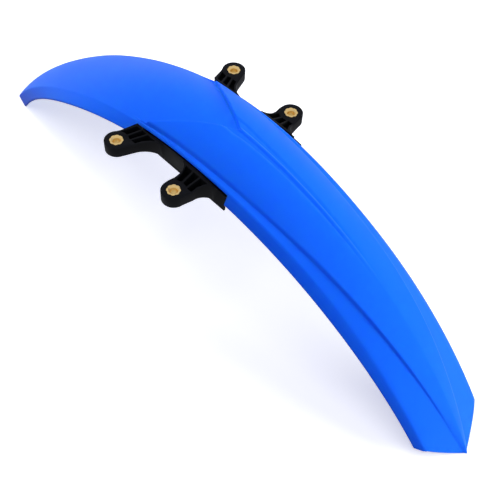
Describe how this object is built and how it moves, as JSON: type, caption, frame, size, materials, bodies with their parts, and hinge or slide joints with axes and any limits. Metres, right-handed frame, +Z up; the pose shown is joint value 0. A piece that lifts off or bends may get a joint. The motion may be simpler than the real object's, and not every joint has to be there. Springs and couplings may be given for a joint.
{
  "type": "motorcycle front mudguard",
  "caption": "Front mudguard for a motorcycle: a long arched plastic blade with a raised spear-shaped panel, on a fork brace with bushed bolt lugs.",
  "frame": {"origin": "centre of the four fork bolts, in the plane of the lug tops", "axes": "+X forward along the bike to the pointed nose, +Y to the left, +Z up along the fork bolts, away from the wheel"},
  "size_m": [0.6339, 0.162, 0.172],
  "materials": {
    "blade_plastic": "satin moulded polypropylene, coloured through",
    "brace_plastic": "fine matt moulded nylon",
    "brass": "turned, bright",
    "steel": "zinc plated"
  },
  "bodies": {
    "root": {"blade": "blade_plastic", "fork_brace": "brace_plastic", "bush_rear_right": "brass", "bush_front_right": "brass", "bush_rear_left": "brass", "bush_front_left": "brass", "screw_rear_right": "steel", "screw_front_right": "steel", "screw_rear_left": "steel", "screw_front_left": "steel"}
  },
  "joints": []
}
